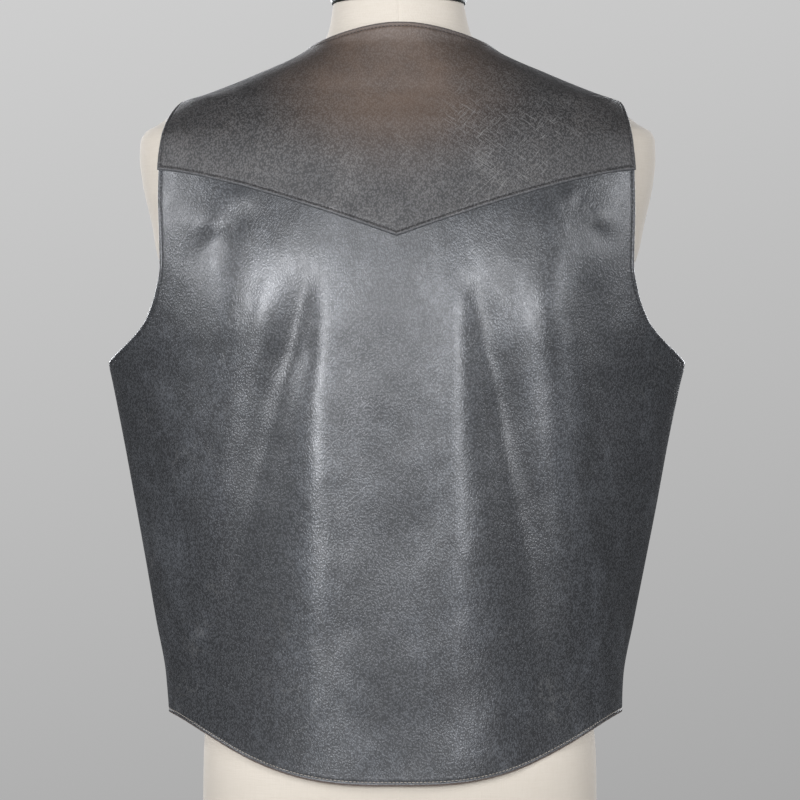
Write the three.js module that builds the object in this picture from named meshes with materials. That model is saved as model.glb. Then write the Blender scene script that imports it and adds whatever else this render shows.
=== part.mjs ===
// A waistcoat-cut leather vest, worn by a limbless dress form that stands on its own flat underside.
// Millimetres, +Z up, the vest's back towards +Y and its fronts towards -Y. The origin is the middle
// of the form's underside. The wearer's left side is at +X.
import * as THREE from 'three';

// Leather and seams
const LEATHER = 1.5;            // thickness of the hide
const SEAM_GAP = 0.3;           // between pieces that are sewn to each other
const LAP_LIFT = LEATHER + SEAM_GAP; // how far a piece that lies on another one stands out
const YOKE_LAP = 12;            // how far the back runs up under the yoke

// Heights that the cut is drawn from
const HEM_CENTRE = 85;          // lowest point of the back hem
const HEM_SIDE = 135;           // hem at the side seams
const UNDERARM = 432;           // top of the side seams
const SHOULDER_TIP = 650;       // outer end of the shoulder seams
const NECK_POINT = 697;         // inner end of the shoulder seams
const NECK_BACK = 713;          // back neck edge at the centre
const YOKE_POINT = 533;         // tip of the pointed yoke
const YOKE_RISE = 57.5;         // from its tip to its ends at the armholes

// Front opening
const FRONT_HEM_CENTRE = 90;
const LAP_HALF = 12;            // each front runs this far past the centre line
const V_BREAK = 470;            // where the V neck starts
const LAP_FADE = [22, 50];      // the upper front lies back against the body between these widths
const V_CURVE = 1.08;           // how much the V's edge bends, where 1 is straight
const SHOULDER_RISE = [560, 640]; // the fronts rise to the yoke's level between these heights
const SNAP_HEIGHTS = [450, 376, 302, 228, 154];
const SNAP_RADIUS = 7.5;
const SNAP_RIM = 1.6;
const SNAP_DOME = 3.2;

// Mesh steps across the panels and around the form
const BACK_ACROSS = 40;
const FRONT_ACROSS = 16;
const FORM_ROUND = 48;
const CLOSING_POWER = 1.9;      // how much closer together the last rows of a closing stage lie

const table = (columns, rows) =>
  rows.map((row) => Object.fromEntries(columns.map((name, i) => [name, row[i]])));

// The form's level sections: half its width, how far its back and its front lie from the middle, the
// power of its superellipse, and how far it leans towards the wearer's left.
const FORM = table(['height', 'side', 'back', 'front', 'power', 'lean'], [
  [0, 166, 108, 106, 2.15, -2.5],     // cut off level at the hips
  [60, 167, 110, 107, 2.15, -2.5],
  [100, 166.5, 109, 107, 2.15, -2.5],
  [150, 161, 106, 104, 2.15, -1.5],
  [215, 152, 100, 101, 2.2, 0],
  [270, 147, 97, 102, 2.2, 0],        // waist
  [330, 152, 101, 107, 2.2, 0],
  [390, 162, 110, 115, 2.25, 0],
  [440, 170, 118, 120.5, 2.3, 0],
  [490, 182, 122, 122, 2.3, 0],       // chest
  [520, 203, 121.5, 119, 2.3, -0.5],
  [549, 209, 119, 115, 2.3, -1],
  [583, 216.5, 114, 106, 2.3, -0.8],
  [604, 218.8, 109, 97, 2.3, -0.6],   // fullest part of the shoulder caps
  [619, 218.3, 104, 90, 2.25, -0.8],
  [627, 214.5, 101, 85.5, 2.2, -1.2],
  [632, 206, 99, 83, 2.2, -1.2],
  [641, 193, 95, 79, 2.2, -1.8],
  [650, 178, 91, 75, 2.2, -2.5],
  [660, 154, 87, 71, 2.15, -2.5],
  [670, 130, 83, 69, 2.1, -2.5],
  [680, 106, 78, 67, 2.05, -2.5],
  [690, 84, 71, 65, 2.0, -2.5],
  [699, 68, 66, 63, 2.0, -2.2],       // foot of the neck
  [713, 60, 60, 61, 2.0, -2],
  [736, 55.5, 51, 57, 2.0, -1.4],
]);
const NECK_TOP = 736;
const NECK_CAP = table(['height', 'grow'], [[736.3, 1.5], [741, 2.5], [747, 1.5], [751, -6], [753, -22]]);

// The vest's level sections, at the inner face of the leather. power and flatness shape the curve from
// the middle to the side: depth = (1 - (x / side) ^ power) ^ flatness, an ellipse at 2 and 0.5, and a
// corner at the side as flatness nears 1.
const VEST = table(['height', 'side', 'back', 'backFlat', 'front', 'frontFlat', 'lean'], [
  [60, 188, 119.5, 0.70, 123, 0.70, 0],
  [135, 191, 122.5, 0.71, 124, 0.72, 1.2],
  [167, 193, 124, 0.72, 124.5, 0.73, 1.8],
  [213, 201.5, 126, 0.74, 125.5, 0.74, 1.6],
  [264, 211, 128.3, 0.75, 126.5, 0.75, 1],
  [315, 220.6, 130.5, 0.76, 127.5, 0.76, 0.6],
  [366, 230, 132.4, 0.77, 128.5, 0.77, 0.6],
  [412, 239.3, 133.7, 0.77, 129.5, 0.77, 0.3],
  [432, 243.7, 134.1, 0.76, 129.7, 0.75, 0],   // underarm
  [460, 247.3, 134.6, 0.73, 129.7, 0.72, 0],
  [500, 248.5, 133, 0.67, 128.5, 0.66, 0],
  [540, 245.5, 129, 0.59, 124, 0.58, 0],
  [575, 239, 122, 0.52, 115, 0.51, 0.3],
  [604, 231, 115, 0.475, 102, 0.475, 0.3],
  [619, 226, 109.5, 0.46, 94.5, 0.46, 0],
  [630, 214, 105, 0.46, 88.5, 0.46, -0.8],
  [640, 200, 99.5, 0.465, 83.5, 0.465, -2],
  [650, 183.5, 94.5, 0.465, 78, 0.465, -4],  // shoulder tip
  [654, 170.5, 92.5, 0.465, 76.5, 0.465, -4.8],
  [664, 144, 89, 0.47, 74, 0.47, -5],
  [674, 120, 85, 0.475, 72, 0.475, -5],
  [684, 96.5, 81, 0.48, 71, 0.48, -4.5],
  [691, 83, 78.5, 0.49, 70, 0.49, -4],
  [697, 75.5, 76.5, 0.5, 69, 0.5, -3.5],     // neck point
  [713, 70, 74, 0.5, 68, 0.5, -3],
]);
const VEST_POWER = 2.2;

// The armholes, from the underarm to the shoulder tip: how far from the middle their edges lie.
const ARMHOLE = table(['height', 'back', 'front'], [
  [432, 243.7, 243.7],
  [437, 238.7, 235],
  [447, 226.5, 222],
  [457, 216, 211],
  [467, 208.5, 203],
  [487, 200.5, 192],
  [512, 196, 184],
  [534, 196.5, 181],
  [567, 197.3, 181],
  [591, 197, 183],
  [616, 194.7, 185],
  [632, 191.5, 186],
  [642, 188, 186],
  [650, 183.5, 183.5],
]);

// The rows of points that each panel is worked out on, from its lowest edge up. A stage ends with a
// row from the centre of the panel, or its front edge, to its side. Between them the row's height
// changes by 1 - (1 - x ^ dip) ^ bend, which is straight at 1 and 1: dip rounds it at the centre and
// bend at the side. Rows in a closing stage lie closer together towards its end.
const STAGE_COLUMNS = ['centre', 'side', 'dip', 'bend', 'rows', 'closing'];
const YOKE_END = YOKE_POINT + YOKE_RISE;
const BACK_STAGES = table(STAGE_COLUMNS, [
  [HEM_CENTRE, HEM_SIDE, 2.95, 1.53, 1, false],
  [377, UNDERARM, 1.6, 1.3, 11, false],
  [YOKE_POINT, YOKE_END, 1, 1.3, 6, false],
  [YOKE_POINT + YOKE_LAP, YOKE_END + YOKE_LAP, 1, 1.3, 1, false],
]);
const YOKE_STAGES = table(STAGE_COLUMNS, [
  [YOKE_POINT, YOKE_END, 1, 1.3, 1, false],
  [YOKE_POINT + YOKE_LAP, YOKE_END + YOKE_LAP, 1, 1.3, 1, false],
  [640, SHOULDER_TIP, 1.2, 1.1, 6, true],
  [NECK_BACK, NECK_POINT, 1.75, 1, 5, false],
]);
const FRONT_STAGES = table(STAGE_COLUMNS, [
  [FRONT_HEM_CENTRE, HEM_SIDE, 2.95, 1.53, 1, false],
  [V_BREAK, UNDERARM, 1.3, 1, 11, false],
  [515, 480, 1.1, 1, 5, false],
  [NECK_POINT, SHOULDER_TIP, 1, 1, 12, true],
]);

// The largest folds. Each runs from a top point to a bottom point, bowed sideways between them, and
// stands out by rise, or sinks in where rise is negative. It comes up over the first share of its
// length in FOLD_FADE and dies away from the second one on, and near the side seams.
const FOLD_FADE = [0.22, 0.55];
const SIDE_CALM = 40;
const FOLD_COLUMNS = ['topX', 'topZ', 'lowX', 'lowZ', 'bow', 'rise', 'topWidth', 'lowWidth'];
const BACK_FOLDS = table(FOLD_COLUMNS, [
  [60, 556, 62, 40, 1, 2.9, 15, 20],        // rounded corner on the left of the flat middle
  [66, 530, 160, 20, 9, -6.2, 15, 28],      // trough beside it
  [122, 566, 190, 150, 6, 5.2, 26, 34],     // left shoulder blade's fold
  [90, 556, 110, 390, 2, 1.1, 15, 18],
  [112, 574, 176, 524, 4, 1.6, 11, 14],      // drag line from the left armhole
  [120, 562, 176, 500, 4, -1.8, 11, 16],
  [-46, 552, -56, 40, 0, 2.8, 15, 20],      // rounded corner on the right of the flat middle
  [-62, 530, -148, -120, -8, -6.2, 15, 30],    // trough beside it
  [-100, 548, -172, 90, -9, 5.2, 23, 28],   // right shoulder blade's fold
  [-118, 570, -132, 420, -2, 1.2, 15, 18],
  [-150, 530, -192, 160, 2, -3.0, 15, 24],
  [-130, 574, -188, 540, 6, 1.5, 10, 13],    // drag line from the right armhole
  [-140, 566, -184, 526, 5, -1.7, 11, 15],
  [2, 430, -4, -40, 0, -1.6, 20, 30],       // hollow down the middle
]);
const FRONT_FOLDS = table(FOLD_COLUMNS, [
  [82, 560, 62, 150, -4, 4.6, 15, 27],
  [112, 530, 112, 80, 3, -6.0, 15, 28],
  [148, 490, 158, 100, 3, 5.0, 17, 27],
  [-78, 552, -56, 140, 4, 4.2, 14, 26],
  [-110, 536, -106, 70, -3, -6.4, 15, 29],
  [-150, 486, -152, 110, -3, 4.6, 17, 27],
]);

const clamp01 = (x) => Math.min(1, Math.max(0, x));
const smoothstep = (from, to, x) => {
  const t = clamp01((x - from) / (to - from));
  return t * t * (3 - 2 * t);
};
const lerp = (a, b, t) => a + (b - a) * t;
const signedPower = (x, power) => Math.sign(x) * Math.abs(x) ** power;

// A column of a table as a smooth function of height that never overshoots its rows.
function column(rows, name) {
  const heights = rows.map((row) => row.height);
  const values = rows.map((row) => row[name]);
  const slopes = values.slice(1).map((v, i) => (v - values[i]) / (heights[i + 1] - heights[i]));
  const tangents = values.map((_, i) => {
    if (i === 0) return slopes[0];
    if (i === slopes.length) return slopes[i - 1];
    const [below, above] = [slopes[i - 1], slopes[i]];
    return below * above <= 0 ? 0 : (2 * below * above) / (below + above);
  });
  return (height) => {
    const h = Math.min(Math.max(height, heights[0]), heights[heights.length - 1]);
    let i = 0;
    while (i < slopes.length - 1 && h > heights[i + 1]) i += 1;
    const step = heights[i + 1] - heights[i];
    const t = (h - heights[i]) / step;
    return values[i] * (1 + 2 * t) * (1 - t) ** 2 + values[i + 1] * t * t * (3 - 2 * t)
      + step * t * (1 - t) * (tangents[i] * (1 - t) - tangents[i + 1] * t);
  };
}
const columns = (rows) => Object.fromEntries(
  Object.keys(rows[0]).filter((name) => name !== 'height').map((name) => [name, column(rows, name)]));

const form = columns(FORM);
const vest = columns(VEST);
const armhole = columns(ARMHOLE);

// How far the folds lift the leather at a point of the back or the fronts.
function foldLift(folds, x, z) {
  return folds.reduce((sum, fold) => {
    const [dx, dz] = [fold.lowX - fold.topX, fold.lowZ - fold.topZ];
    const length = Math.hypot(dx, dz);
    const t = ((x - fold.topX) * dx + (z - fold.topZ) * dz) / length ** 2;
    const aside = ((x - fold.topX) * dz - (z - fold.topZ) * dx) / length + fold.bow * 4 * t * (1 - t);
    const width = lerp(fold.topWidth, fold.lowWidth, clamp01(t));
    const shown = smoothstep(0, FOLD_FADE[0], t) * (1 - smoothstep(FOLD_FADE[1], 1, t));
    return sum + fold.rise * shown * Math.exp(-((aside / width) ** 2));
  }, 0);
}

// A point of the leather's inner face. turn is 0 at the middle of the back or front and 90 degrees,
// as radians, at the side and shoulder seams; face is 1 on the back and -1 on the fronts.
function skin(face, turn, z) {
  const [depth, flat, folds] = face > 0
    ? [vest.back(z), vest.backFlat(z), BACK_FOLDS]
    : [vest.front(z), vest.frontFlat(z), FRONT_FOLDS];
  const x = vest.side(z) * signedPower(Math.sin(turn), 2 / VEST_POWER);
  const y = depth * Math.max(Math.cos(turn), 0) ** (2 * flat);
  const lift = foldLift(folds, x, z) * smoothstep(0, SIDE_CALM, y);
  return new THREE.Vector3(x + vest.lean(z), face * (SEAM_GAP / 2 + y + lift), z);
}

// The turn at which the skin is a given distance from the middle.
const turnAt = (x, z) =>
  Math.asin(signedPower(Math.max(-1, Math.min(1, x / vest.side(z))), VEST_POWER / 2));

// The outward direction of the skin. Along the seams, where back and front meet, it has no part
// towards the other piece, so that the seam stays open by its gap.
function outward(face, turn, z) {
  const small = 0.004;
  const atSeam = Math.abs(Math.abs(turn) - Math.PI / 2) < 1e-6;
  const low = Math.max(turn - small, -Math.PI / 2);
  const high = Math.min(turn + small, Math.PI / 2);
  const across = skin(face, high, z).sub(skin(face, low, z));
  const up = skin(face, turn, z + 0.5).sub(skin(face, turn, z - 0.5));
  const normal = atSeam
    ? new THREE.Vector3(Math.sign(turn) * up.z, 0, -Math.sign(turn) * up.x)
    : up.cross(across).multiplyScalar(face);
  return normal.normalize();
}

// Every row of a panel, from its stages.
function rowsOf(stages) {
  return stages.flatMap((stage, i) => {
    if (i === 0) return [stage];
    const last = stages[i - 1];
    return Array.from({ length: stage.rows }, (_, k) => {
      const t = (k + 1) / stage.rows;
      const share = stage.closing ? 1 - (1 - t) ** CLOSING_POWER : t;
      return {
        centre: lerp(last.centre, stage.centre, share),
        side: lerp(last.side, stage.side, share),
        dip: lerp(last.dip, stage.dip, share),
        bend: lerp(last.bend, stage.bend, share),
      };
    });
  });
}

const rowHeight = (row, reach) =>
  lerp(row.centre, row.side, 1 - (1 - clamp01(reach) ** row.dip) ** row.bend);

// A panel of leather as a closed wall. place(row, across) gives the turn and height of a point, and
// how far the inner face stands out from the skin there; across runs from 0 to 1.
function wall(face, stages, steps, place) {
  const rows = rowsOf(stages);
  const [nx, nz] = [steps + 1, rows.length];
  const points = [];
  for (const depth of [0, LEATHER]) {
    for (let j = 0; j < nz; j += 1) {
      for (let i = 0; i < nx; i += 1) {
        const { turn, z, lift } = place(rows[j], i / steps);
        const p = skin(face, turn, z).addScaledVector(outward(face, turn, z), lift + depth);
        points.push(p.x, p.y, p.z);
      }
    }
  }
  const at = (layer, i, j) => layer * nx * nz + j * nx + i;
  const faces = [];
  const quad = (a, b, c, d) => faces.push(a, b, c, a, c, d);
  for (let j = 0; j < nz - 1; j += 1) {
    for (let i = 0; i < nx - 1; i += 1) {
      quad(at(0, i, j), at(0, i + 1, j), at(0, i + 1, j + 1), at(0, i, j + 1));
      quad(at(1, i, j), at(1, i, j + 1), at(1, i + 1, j + 1), at(1, i + 1, j));
    }
  }
  for (let i = 0; i < nx - 1; i += 1) {
    quad(at(0, i, 0), at(1, i, 0), at(1, i + 1, 0), at(0, i + 1, 0));
    quad(at(0, i, nz - 1), at(0, i + 1, nz - 1), at(1, i + 1, nz - 1), at(1, i, nz - 1));
  }
  for (let j = 0; j < nz - 1; j += 1) {
    quad(at(0, 0, j), at(0, 0, j + 1), at(1, 0, j + 1), at(1, 0, j));
    quad(at(0, nx - 1, j), at(1, nx - 1, j), at(1, nx - 1, j + 1), at(0, nx - 1, j + 1));
  }
  if (face < 0) faces.reverse();
  return solid(points, faces);
}

// A closed body from points and triangles.
function solid(points, faces) {
  const geometry = new THREE.BufferGeometry();
  geometry.setAttribute('position', new THREE.Float32BufferAttribute(points, 3));
  geometry.setIndex(faces);
  geometry.computeVertexNormals();
  return geometry;
}

// A closed body through level rings of equally many points, with a flat bottom and top.
function loft(rings) {
  const round = rings[0].length;
  const points = rings.flat().flatMap((p) => [p.x, p.y, p.z]);
  const faces = [];
  for (let j = 0; j < rings.length - 1; j += 1) {
    for (let i = 0; i < round; i += 1) {
      const [a, b] = [j * round + i, j * round + ((i + 1) % round)];
      faces.push(a, b, b + round, a, b + round, a + round);
    }
  }
  const top = (rings.length - 1) * round;
  for (let i = 1; i < round - 1; i += 1) {
    faces.push(0, i + 1, i);
    faces.push(top, top + i, top + i + 1);
  }
  return solid(points, faces);
}

function formRing(height, level = height, grow = 0) {
  const power = form.power(level);
  return Array.from({ length: FORM_ROUND }, (_, i) => {
    const angle = (i / FORM_ROUND) * 2 * Math.PI;
    const depth = Math.sin(angle) > 0 ? form.back(level) : form.front(level);
    return new THREE.Vector3(
      form.lean(level) + (form.side(level) + grow) * signedPower(Math.cos(angle), 2 / power),
      (depth + grow) * signedPower(Math.sin(angle), 2 / power),
      height);
  });
}

// Where an edge of the vest lies at a height, on the side seam, armhole or shoulder seam.
function sideTurn(edge, z) {
  return z <= UNDERARM || z >= SHOULDER_TIP ? Math.PI / 2 : turnAt(edge(z), z);
}

// A point of a row between its inner and outer edges, where a runs from 0 to 1. The edges give their
// turn at a height.
function rowPoint(row, a, inner, outer) {
  const width = (turn, z) => vest.side(z) * signedPower(Math.sin(turn), 2 / VEST_POWER);
  let z = row.centre;
  let turn = inner(z);
  for (let tries = 0; tries < 12; tries += 1) {
    turn = lerp(inner(z), outer(z), a);
    const [from, to] = [width(inner(z), z), width(outer(z), z)];
    z = rowHeight(row, (width(turn, z) - from) / Math.max(to - from, 1e-6));
  }
  return { turn, z };
}

// A panel of the back, from the right side to the left.
function backPanel(stages, lift) {
  const outer = (z) => sideTurn(armhole.back, z);
  return wall(1, stages, BACK_ACROSS, (row, across) => {
    const toSide = 2 * across - 1;
    const end = Math.abs(toSide) === 1;
    const { turn, z } = end
      ? { turn: outer(row.side), z: row.side }
      : rowPoint(row, Math.abs(toSide), () => 0, outer);
    return { turn: Math.sign(toSide) * turn, z, lift };
  });
}

// The inner edge of a front: past the centre line up to the V neck, then to the neck point.
function frontEdge(z) {
  const t = clamp01((z - V_BREAK) / (NECK_POINT - V_BREAK));
  return lerp(-LAP_HALF, vest.side(NECK_POINT), t ** V_CURVE);
}

// A front, where side is 1 for the wearer's left and -1 for the right. The left one laps over. Its
// rows start level and turn gradually into the line of the shoulder seam.
function frontPanel(side) {
  const inner = (z) => (z >= NECK_POINT ? Math.PI / 2 : turnAt(frontEdge(z), z));
  const outer = (z) => sideTurn(armhole.front, z);
  return wall(-1, FRONT_STAGES, FRONT_ACROSS, (row, across) => {
    const a = side > 0 ? across : 1 - across;
    const level = rowPoint(row, a, inner, outer);
    const sloped = { turn: lerp(inner(row.centre), outer(row.side), a), z: rowHeight(row, a) };
    const slope = a === 1 ? 1 : smoothstep(UNDERARM, SHOULDER_TIP, row.side);
    const turn = lerp(level.turn, sloped.turn, slope);
    const z = lerp(level.z, sloped.z, slope);
    const x = skin(-1, turn, z).x - vest.lean(z);
    const lap = side > 0 ? 1 - smoothstep(LAP_FADE[0], LAP_FADE[1], x) : 0;
    const shoulder = smoothstep(SHOULDER_RISE[0], SHOULDER_RISE[1], z);
    return { turn: side * turn, z, lift: Math.max(lap, shoulder) * LAP_LIFT };
  });
}

function snap(z) {
  const profile = [[0, 0], [SNAP_RADIUS - 0.4, 0], [SNAP_RADIUS, 0.5], [SNAP_RADIUS, SNAP_RIM - 0.4]];
  for (let i = 1; i <= 5; i += 1) {
    const turn = (i / 5) * (Math.PI / 2);
    profile.push([SNAP_RADIUS * Math.cos(turn) * 0.97, SNAP_RIM + (SNAP_DOME - SNAP_RIM) * Math.sin(turn)]);
  }
  profile[profile.length - 1][0] = 0;
  const geometry = new THREE.LatheGeometry(profile.map(([r, h]) => new THREE.Vector2(r, h)), 20);
  const direction = outward(-1, 0, z);
  const seat = skin(-1, 0, z).addScaledVector(direction, LAP_LIFT + LEATHER + SEAM_GAP);
  return { geometry, seat, direction };
}

const leather = () => new THREE.MeshStandardMaterial({ color: 0x3f4144, roughness: 0.45, metalness: 0 });
const linen = () => new THREE.MeshStandardMaterial({ color: 0xe6dfd3, roughness: 0.9, metalness: 0 });
const capMetal = () => new THREE.MeshStandardMaterial({ color: 0x2c322f, roughness: 0.4, metalness: 0.6 });
const snapMetal = () => new THREE.MeshStandardMaterial({ color: 0x6f6a62, roughness: 0.35, metalness: 0.9 });

const model = new THREE.Group();
function add(name, geometry, material) {
  const mesh = new THREE.Mesh(geometry, material);
  mesh.name = name;
  model.add(mesh);
  return mesh;
}

const formHeights = FORM.map((row) => row.height);
add('form_torso', loft(formHeights.map((height) => formRing(height))), linen());
add('form_neck_cap', loft(NECK_CAP.map((row) => formRing(row.height, NECK_TOP, row.grow))), capMetal());
add('back_body', backPanel(BACK_STAGES, 0), leather());
add('back_yoke', backPanel(YOKE_STAGES, LAP_LIFT), leather());
add('front_left', frontPanel(1), leather());
add('front_right', frontPanel(-1), leather());
SNAP_HEIGHTS.forEach((z, i) => {
  const { geometry, seat, direction } = snap(z);
  const mesh = add(`snap_${i + 1}`, geometry, snapMetal());
  mesh.quaternion.setFromUnitVectors(new THREE.Vector3(0, 1, 0), direction);
  mesh.position.copy(seat);
});

export default model;
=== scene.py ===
"""A leather vest with a pointed back yoke, worn by a limbless dress form.

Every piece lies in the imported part's frame: +Z up, the vest's back towards +Y and its fronts towards
-Y, with the wearer's left at +X. Sizes in the tables are millimetres.
"""

import math

import bpy
import numpy as np
from bpy.props import FloatProperty, FloatVectorProperty, PointerProperty
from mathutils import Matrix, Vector
from mathutils.kdtree import KDTree


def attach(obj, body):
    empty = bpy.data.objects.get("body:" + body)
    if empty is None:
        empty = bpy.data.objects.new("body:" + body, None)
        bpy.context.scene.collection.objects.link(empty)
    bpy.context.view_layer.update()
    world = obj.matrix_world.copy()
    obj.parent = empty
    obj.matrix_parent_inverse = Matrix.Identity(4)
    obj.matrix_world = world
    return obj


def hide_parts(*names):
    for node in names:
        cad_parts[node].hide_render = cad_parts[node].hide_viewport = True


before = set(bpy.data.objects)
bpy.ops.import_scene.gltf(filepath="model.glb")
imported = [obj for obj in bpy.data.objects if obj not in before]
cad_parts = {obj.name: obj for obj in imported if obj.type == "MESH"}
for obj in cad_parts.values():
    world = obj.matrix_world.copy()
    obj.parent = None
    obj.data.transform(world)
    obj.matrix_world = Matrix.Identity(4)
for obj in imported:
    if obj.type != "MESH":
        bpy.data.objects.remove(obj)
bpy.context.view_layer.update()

bl_info = {
    "name": "Leather Vest",
    "version": (1, 0, 0),
    "blender": (4, 5, 0),
    "location": "3D View > Sidebar > Vest",
    "description": "Builds a yoked leather vest and the dress form that wears it",
    "category": "Object",
}

MM = 0.001
LEATHER = 1.5
SEAM_GAP = 0.3
LAP_LIFT = LEATHER + SEAM_GAP
UNDERARM = 432
SHOULDER_TIP = 650
NECK_POINT = 697
V_BREAK = 470
LAP_HALF = 12
LAP_FADE = (22, 50)
YOKE_END = 590.5
NECK_TOP = 736
VEST_POWER = 2.2
SNAP_HEIGHTS = (450, 376, 302, 228, 154)
SNAP_RADIUS = 7.5

# The V's bend, the heights over which a front rises to the shoulder seam, the shares of a fold's length
# where it has faded in and starts to fade out, and the depth over which folds calm down at the sides.
V_CURVE = 1.08
SHOULDER_RISE = (560, 640)
FOLD_FADE = (0.22, 0.55)
SIDE_CALM = 40

# Widths by which the points across half a back panel and across a front are counted.
BACK_REACH = 265
FRONT_REACH = 270

# The soft unevenness between the folds: depths of the broad and the small waves, the share of the
# small ones left at the shoulders, and the heights over which the leather tightens.
BROAD_WAVE = 0.42
SMALL_WAVE = 0.08
TIGHT_SHARE = 0.4
TIGHTENS = (500, 590)

# How the leather swells beside a row of stitches: height, distance from the edge, half width. Then the
# groove's half width, and the radius to which seams and the inner side's edges are rounded.
PUFFS = ((0.22, 1.7, 1.0), (0.10, 5.4, 1.6))
GROOVE_WIDTH = 0.65
SEAM_ROLL = 0.9
INNER_ROLL = 0.3

# A stitch from end to end: place along it, share of the thread's radius, height. Then the points round
# it, and how far it strays along its row.
STITCH_RINGS = (
    (-1.0, 0.25, -0.10),
    (-0.8, 0.8, 0.10),
    (0.0, 1.0, 0.22),
    (0.8, 0.8, 0.10),
    (1.0, 0.25, -0.10),
)
STITCH_SIDES = 6
STITCH_STRAY = 0.12

# The step between the points that an edge is measured from, and how much nearer than the stitches'
# inset another edge may come.
LINE_STEP = 0.4
CORNER_SLACK = 0.4

# A snap's rim, as how far inside its radius and how high; its dome's inset, foot, rise and steps; the
# points round it; and the radius of its smallest rings.
SNAP_RIM = ((0.4, 0), (0.1, 0.15), (0, 0.5), (0, 1.1), (0.25, 1.5), (0.8, 1.6), (1.3, 1.5), (1.6, 1.35))
SNAP_DOME = (1.7, 1.35, 1.85)
SNAP_DOME_STEPS = 12
SNAP_ROUND = 48
SNAP_POLE = 0.01

# The dress form: points round it and its cap, radius of the foot's edge, and its two sewn seams'
# depth, half width, columns of points beside them in degrees, and the room for these in radians.
FORM_ROUND = 132
CAP_ROUND = 96
FOOT_ROLL = 2.5
FORM_SEAM_DEPTH = 0.45
FORM_SEAM_WIDTH = 0.9
FORM_SEAM_COLUMNS = (-2.4, -1.2, -0.6, -0.3, 0, 0.3, 0.6, 1.2, 2.4)
FORM_SEAM_ROOM = 0.06

# The form's level sections: height, half width, depth behind and before the middle, power, lean.
FORM = np.array([
    (0, 166, 108, 106, 2.15, -2.5),
    (60, 167, 110, 107, 2.15, -2.5),
    (100, 166.5, 109, 107, 2.15, -2.5),
    (150, 161, 106, 104, 2.15, -1.5),
    (215, 152, 100, 101, 2.2, 0),
    (270, 147, 97, 102, 2.2, 0),
    (330, 152, 101, 107, 2.2, 0),
    (390, 162, 110, 115, 2.25, 0),
    (440, 170, 118, 120.5, 2.3, 0),
    (490, 182, 122, 122, 2.3, 0),
    (520, 203, 121.5, 119, 2.3, -0.5),
    (549, 209, 119, 115, 2.3, -1),
    (583, 216.5, 114, 106, 2.3, -0.8),
    (604, 218.8, 109, 97, 2.3, -0.6),
    (619, 218.3, 104, 90, 2.25, -0.8),
    (627, 214.5, 101, 85.5, 2.2, -1.2),
    (632, 206, 99, 83, 2.2, -1.2),
    (641, 193, 95, 79, 2.2, -1.8),
    (650, 178, 91, 75, 2.2, -2.5),
    (660, 154, 87, 71, 2.15, -2.5),
    (670, 130, 83, 69, 2.1, -2.5),
    (680, 106, 78, 67, 2.05, -2.5),
    (690, 84, 71, 65, 2.0, -2.5),
    (699, 68, 66, 63, 2.0, -2.2),
    (713, 60, 60, 61, 2.0, -2),
    (736, 55.5, 51, 57, 2.0, -1.4),
])

# The cap on the form's neck: height, how far it stands out past the neck.
NECK_CAP = np.array([
    (736.3, 1.2),
    (737.0, 1.5),
    (741.0, 2.5),
    (744.5, 2.5),
    (747.0, 1.5),
    (748.8, -1.0),
    (750.0, -3.5),
    (751.0, -6.0),
    (752.2, -13.0),
    (753.0, -22.0),
])

# The vest's level sections: height, half width, back depth, back flatness, front depth, front
# flatness, lean.
VEST = np.array([
    (60, 188, 119.5, 0.70, 123, 0.70, 0),
    (135, 191, 122.5, 0.71, 124, 0.72, 1.2),
    (167, 193, 124, 0.72, 124.5, 0.73, 1.8),
    (213, 201.5, 126, 0.74, 125.5, 0.74, 1.6),
    (264, 211, 128.3, 0.75, 126.5, 0.75, 1),
    (315, 220.6, 130.5, 0.76, 127.5, 0.76, 0.6),
    (366, 230, 132.4, 0.77, 128.5, 0.77, 0.6),
    (412, 239.3, 133.7, 0.77, 129.5, 0.77, 0.3),
    (432, 243.7, 134.1, 0.76, 129.7, 0.75, 0),
    (460, 247.3, 134.6, 0.73, 129.7, 0.72, 0),
    (500, 248.5, 133, 0.67, 128.5, 0.66, 0),
    (540, 245.5, 129, 0.59, 124, 0.58, 0),
    (575, 239, 122, 0.52, 115, 0.51, 0.3),
    (604, 231, 115, 0.475, 102, 0.475, 0.3),
    (619, 226, 109.5, 0.46, 94.5, 0.46, 0),
    (630, 214, 105, 0.46, 88.5, 0.46, -0.8),
    (640, 200, 99.5, 0.465, 83.5, 0.465, -2),
    (650, 183.5, 94.5, 0.465, 78, 0.465, -4),
    (654, 170.5, 92.5, 0.465, 76.5, 0.465, -4.8),
    (664, 144, 89, 0.47, 74, 0.47, -5),
    (674, 120, 85, 0.475, 72, 0.475, -5),
    (684, 96.5, 81, 0.48, 71, 0.48, -4.5),
    (691, 83, 78.5, 0.49, 70, 0.49, -4),
    (697, 75.5, 76.5, 0.5, 69, 0.5, -3.5),
    (713, 70, 74, 0.5, 68, 0.5, -3),
])

# The armholes: height, how far the back's edge and the front's edge lie from the middle.
ARMHOLE = np.array([
    (432, 243.7, 243.7),
    (437, 238.7, 235),
    (447, 226.5, 222),
    (457, 216, 211),
    (467, 208.5, 203),
    (487, 200.5, 192),
    (512, 196, 184),
    (534, 196.5, 181),
    (567, 197.3, 181),
    (591, 197, 183),
    (616, 194.7, 185),
    (632, 191.5, 186),
    (642, 188, 186),
    (650, 183.5, 183.5),
])

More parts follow.
